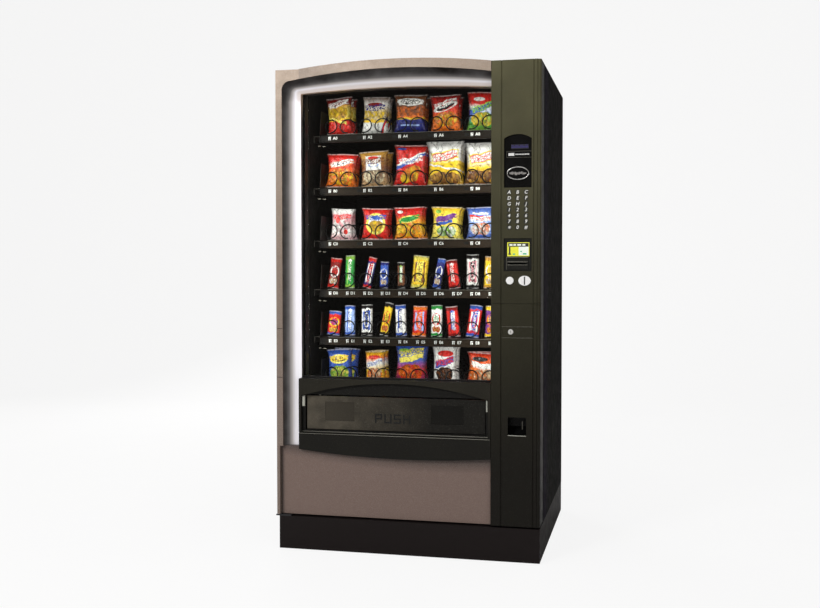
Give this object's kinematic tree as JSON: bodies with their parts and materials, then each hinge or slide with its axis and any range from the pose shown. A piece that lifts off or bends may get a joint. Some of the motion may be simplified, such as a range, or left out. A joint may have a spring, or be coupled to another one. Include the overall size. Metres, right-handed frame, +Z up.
{
  "type": "snack vending machine",
  "caption": "Upright glass-front snack vending machine with an arched door, trays of wire spirals, a keypad and payment column on the right and a push flap below.",
  "frame": {"origin": "on the floor at the centre of the bounding box", "axes": "+Z up, the front faces -Y, +X to the right of a person facing the machine"},
  "size_m": [1, 0.889, 1.8288],
  "materials": {
    "cabinet_paint": "fine textured black paint with a faint violet sheen",
    "interior_black": "matt black paint",
    "plinth_black": "semi-matt black paint",
    "zinc": "zinc-plated steel",
    "tray_black": "black powder coat",
    "strip_black": "black extruded plastic",
    "motor_plastic": "dark grey moulding",
    "bracket_steel": "black painted steel",
    "spiral_wire": "black coated wire",
    "door_paint": "black paint",
    "trim_metallic": "champagne metallic paint",
    "cove_silver": "satin silver paint",
    "glass": "clear flat glass",
    "bezel_plastic": "textured olive-black moulding",
    "panel_taupe": "taupe metallic paint",
    "column_plastic": "textured olive-black moulding",
    "display_black": "smoked acrylic",
    "validator_plastic": "fine textured black moulding",
    "white_plastic": "white moulding",
    "cup_plastic": "black moulding",
    "flap_plastic": "coarse textured olive-black moulding",
    "lock_chrome": "chromed lock barrel",
    "key_plastic": "dark grey moulding"
  },
  "bodies": {
    "cabinet": {"cabinet_shell": "cabinet_paint", "product_liner": "interior_black", "base_plinth": "plinth_black", "leveling_feet": "zinc", "tray_rails": "zinc", "tray_a": "tray_black", "tray_b": "tray_black", "tray_c": "tray_black", "tray_d": "tray_black", "tray_e": "tray_black", "tray_f": "tray_black", "price_strips": "strip_black", "spiral_motors": "motor_plastic", "hinge_brackets": "bracket_steel", "spirals_ab": "spiral_wire", "spirals_cf": "spiral_wire", "spirals_de": "spiral_wire"},
    "door": {"door_shell": "door_paint", "left_stile": "trim_metallic", "header_trim": "trim_metallic", "window_cove": "cove_silver", "window_glass": "glass", "delivery_bezel": "bezel_plastic", "lower_panel": "panel_taupe", "column_upper": "column_plastic", "column_lower": "column_plastic", "display_panel": "display_black", "note_validator": "validator_plastic", "coin_insert": "white_plastic", "coin_cup": "cup_plastic", "delivery_bin": "interior_black"},
    "flap": {"push_flap": "flap_plastic"},
    "baffle": {"baffle_flap": "interior_black"},
    "coin_return": {"coin_return_button": "white_plastic"},
    "lock": {"lock_cylinder": "lock_chrome", "latch_cam": "zinc"},
    "spiral_a0_left": {"spiral_a0_left": "spiral_wire"},
    "spiral_a0_right": {"spiral_a0_right": "spiral_wire"},
    "spiral_d0": {"spiral_d0": "spiral_wire"},
    "key_a_body": {"key_a": "key_plastic"},
    "key_b_body": {"key_b": "key_plastic"},
    "key_c_body": {"key_c": "key_plastic"},
    "key_d_body": {"key_d": "key_plastic"},
    "key_e_body": {"key_e": "key_plastic"},
    "key_f_body": {"key_f": "key_plastic"},
    "key_g_body": {"key_g": "key_plastic"},
    "key_h_body": {"key_h": "key_plastic"},
    "key_j_body": {"key_j": "key_plastic"},
    "key_1_body": {"key_1": "key_plastic"},
    "key_2_body": {"key_2": "key_plastic"},
    "key_3_body": {"key_3": "key_plastic"},
    "key_4_body": {"key_4": "key_plastic"},
    "key_5_body": {"key_5": "key_plastic"},
    "key_6_body": {"key_6": "key_plastic"},
    "key_7_body": {"key_7": "key_plastic"},
    "key_8_body": {"key_8": "key_plastic"},
    "key_9_body": {"key_9": "key_plastic"},
    "key_star_body": {"key_star": "key_plastic"},
    "key_0_body": {"key_0": "key_plastic"},
    "key_hash_body": {"key_hash": "key_plastic"}
  },
  "joints": [
    {"name": "door_hinge", "type": "hinge", "parent": "cabinet", "child": "door", "pos_m": [-0.482, -0.3925, 0.9], "axis": [0, 0, -1], "range_deg": [0, 110]},
    {"name": "flap_hinge", "type": "hinge", "parent": "door", "child": "flap", "pos_m": [-0.0415, -0.4155, 0.581], "axis": [1, 0, 0], "range_deg": [0, 50]},
    {"name": "baffle_hinge", "type": "hinge", "parent": "door", "child": "baffle", "pos_m": [-0.042, -0.2145, 0.566], "axis": [-1, 0, 0], "range_deg": [0, 75]},
    {"name": "coin_return_press", "type": "slide", "parent": "door", "child": "coin_return", "axis": [0, 1, 0], "range_m": [0, 0.004], "stiffness_N_per_m": 400, "springref_m": -0.002},
    {"name": "lock_turn", "type": "hinge", "parent": "door", "child": "lock", "pos_m": [0.3934, -0.4145, 0.836], "axis": [0, -1, 0], "range_deg": [0, 90]},
    {"name": "spiral_a0_left_turn", "type": "hinge", "parent": "cabinet", "child": "spiral_a0_left", "pos_m": [-0.34505, -0.0445, 1.617], "axis": [0, 1, 0], "continuous": true},
    {"name": "spiral_a0_right_turn", "type": "hinge", "parent": "cabinet", "child": "spiral_a0_right", "pos_m": [-0.27515, -0.0445, 1.617], "axis": [0, 1, 0], "continuous": true},
    {"name": "spiral_d0_turn", "type": "hinge", "parent": "cabinet", "child": "spiral_d0", "pos_m": [-0.34505, -0.0445, 1.017], "axis": [0, 1, 0], "continuous": true},
    {"name": "key_a_press", "type": "slide", "parent": "door", "child": "key_a_body", "axis": [0, 1, 0], "range_m": [0, 0.0015], "stiffness_N_per_m": 600, "springref_m": -0.0005},
    {"name": "key_b_press", "type": "slide", "parent": "door", "child": "key_b_body", "axis": [0, 1, 0], "range_m": [0, 0.0015], "stiffness_N_per_m": 600, "springref_m": -0.0005},
    {"name": "key_c_press", "type": "slide", "parent": "door", "child": "key_c_body", "axis": [0, 1, 0], "range_m": [0, 0.0015], "stiffness_N_per_m": 600, "springref_m": -0.0005},
    {"name": "key_d_press", "type": "slide", "parent": "door", "child": "key_d_body", "axis": [0, 1, 0], "range_m": [0, 0.0015], "stiffness_N_per_m": 600, "springref_m": -0.0005},
    {"name": "key_e_press", "type": "slide", "parent": "door", "child": "key_e_body", "axis": [0, 1, 0], "range_m": [0, 0.0015], "stiffness_N_per_m": 600, "springref_m": -0.0005},
    {"name": "key_f_press", "type": "slide", "parent": "door", "child": "key_f_body", "axis": [0, 1, 0], "range_m": [0, 0.0015], "stiffness_N_per_m": 600, "springref_m": -0.0005},
    {"name": "key_g_press", "type": "slide", "parent": "door", "child": "key_g_body", "axis": [0, 1, 0], "range_m": [0, 0.0015], "stiffness_N_per_m": 600, "springref_m": -0.0005},
    {"name": "key_h_press", "type": "slide", "parent": "door", "child": "key_h_body", "axis": [0, 1, 0], "range_m": [0, 0.0015], "stiffness_N_per_m": 600, "springref_m": -0.0005},
    {"name": "key_j_press", "type": "slide", "parent": "door", "child": "key_j_body", "axis": [0, 1, 0], "range_m": [0, 0.0015], "stiffness_N_per_m": 600, "springref_m": -0.0005},
    {"name": "key_1_press", "type": "slide", "parent": "door", "child": "key_1_body", "axis": [0, 1, 0], "range_m": [0, 0.0015], "stiffness_N_per_m": 600, "springref_m": -0.0005},
    {"name": "key_2_press", "type": "slide", "parent": "door", "child": "key_2_body", "axis": [0, 1, 0], "range_m": [0, 0.0015], "stiffness_N_per_m": 600, "springref_m": -0.0005},
    {"name": "key_3_press", "type": "slide", "parent": "door", "child": "key_3_body", "axis": [0, 1, 0], "range_m": [0, 0.0015], "stiffness_N_per_m": 600, "springref_m": -0.0005},
    {"name": "key_4_press", "type": "slide", "parent": "door", "child": "key_4_body", "axis": [0, 1, 0], "range_m": [0, 0.0015], "stiffness_N_per_m": 600, "springref_m": -0.0005},
    {"name": "key_5_press", "type": "slide", "parent": "door", "child": "key_5_body", "axis": [0, 1, 0], "range_m": [0, 0.0015], "stiffness_N_per_m": 600, "springref_m": -0.0005},
    {"name": "key_6_press", "type": "slide", "parent": "door", "child": "key_6_body", "axis": [0, 1, 0], "range_m": [0, 0.0015], "stiffness_N_per_m": 600, "springref_m": -0.0005},
    {"name": "key_7_press", "type": "slide", "parent": "door", "child": "key_7_body", "axis": [0, 1, 0], "range_m": [0, 0.0015], "stiffness_N_per_m": 600, "springref_m": -0.0005},
    {"name": "key_8_press", "type": "slide", "parent": "door", "child": "key_8_body", "axis": [0, 1, 0], "range_m": [0, 0.0015], "stiffness_N_per_m": 600, "springref_m": -0.0005},
    {"name": "key_9_press", "type": "slide", "parent": "door", "child": "key_9_body", "axis": [0, 1, 0], "range_m": [0, 0.0015], "stiffness_N_per_m": 600, "springref_m": -0.0005},
    {"name": "key_star_press", "type": "slide", "parent": "door", "child": "key_star_body", "axis": [0, 1, 0], "range_m": [0, 0.0015], "stiffness_N_per_m": 600, "springref_m": -0.0005},
    {"name": "key_0_press", "type": "slide", "parent": "door", "child": "key_0_body", "axis": [0, 1, 0], "range_m": [0, 0.0015], "stiffness_N_per_m": 600, "springref_m": -0.0005},
    {"name": "key_hash_press", "type": "slide", "parent": "door", "child": "key_hash_body", "axis": [0, 1, 0], "range_m": [0, 0.0015], "stiffness_N_per_m": 600, "springref_m": -0.0005}
  ],
  "couplings": [
    {"joint": "baffle_hinge", "follows": "flap_hinge", "ratio": 1.4},
    {"joint": "spiral_a0_right_turn", "follows": "spiral_a0_left_turn", "ratio": -1}
  ]
}
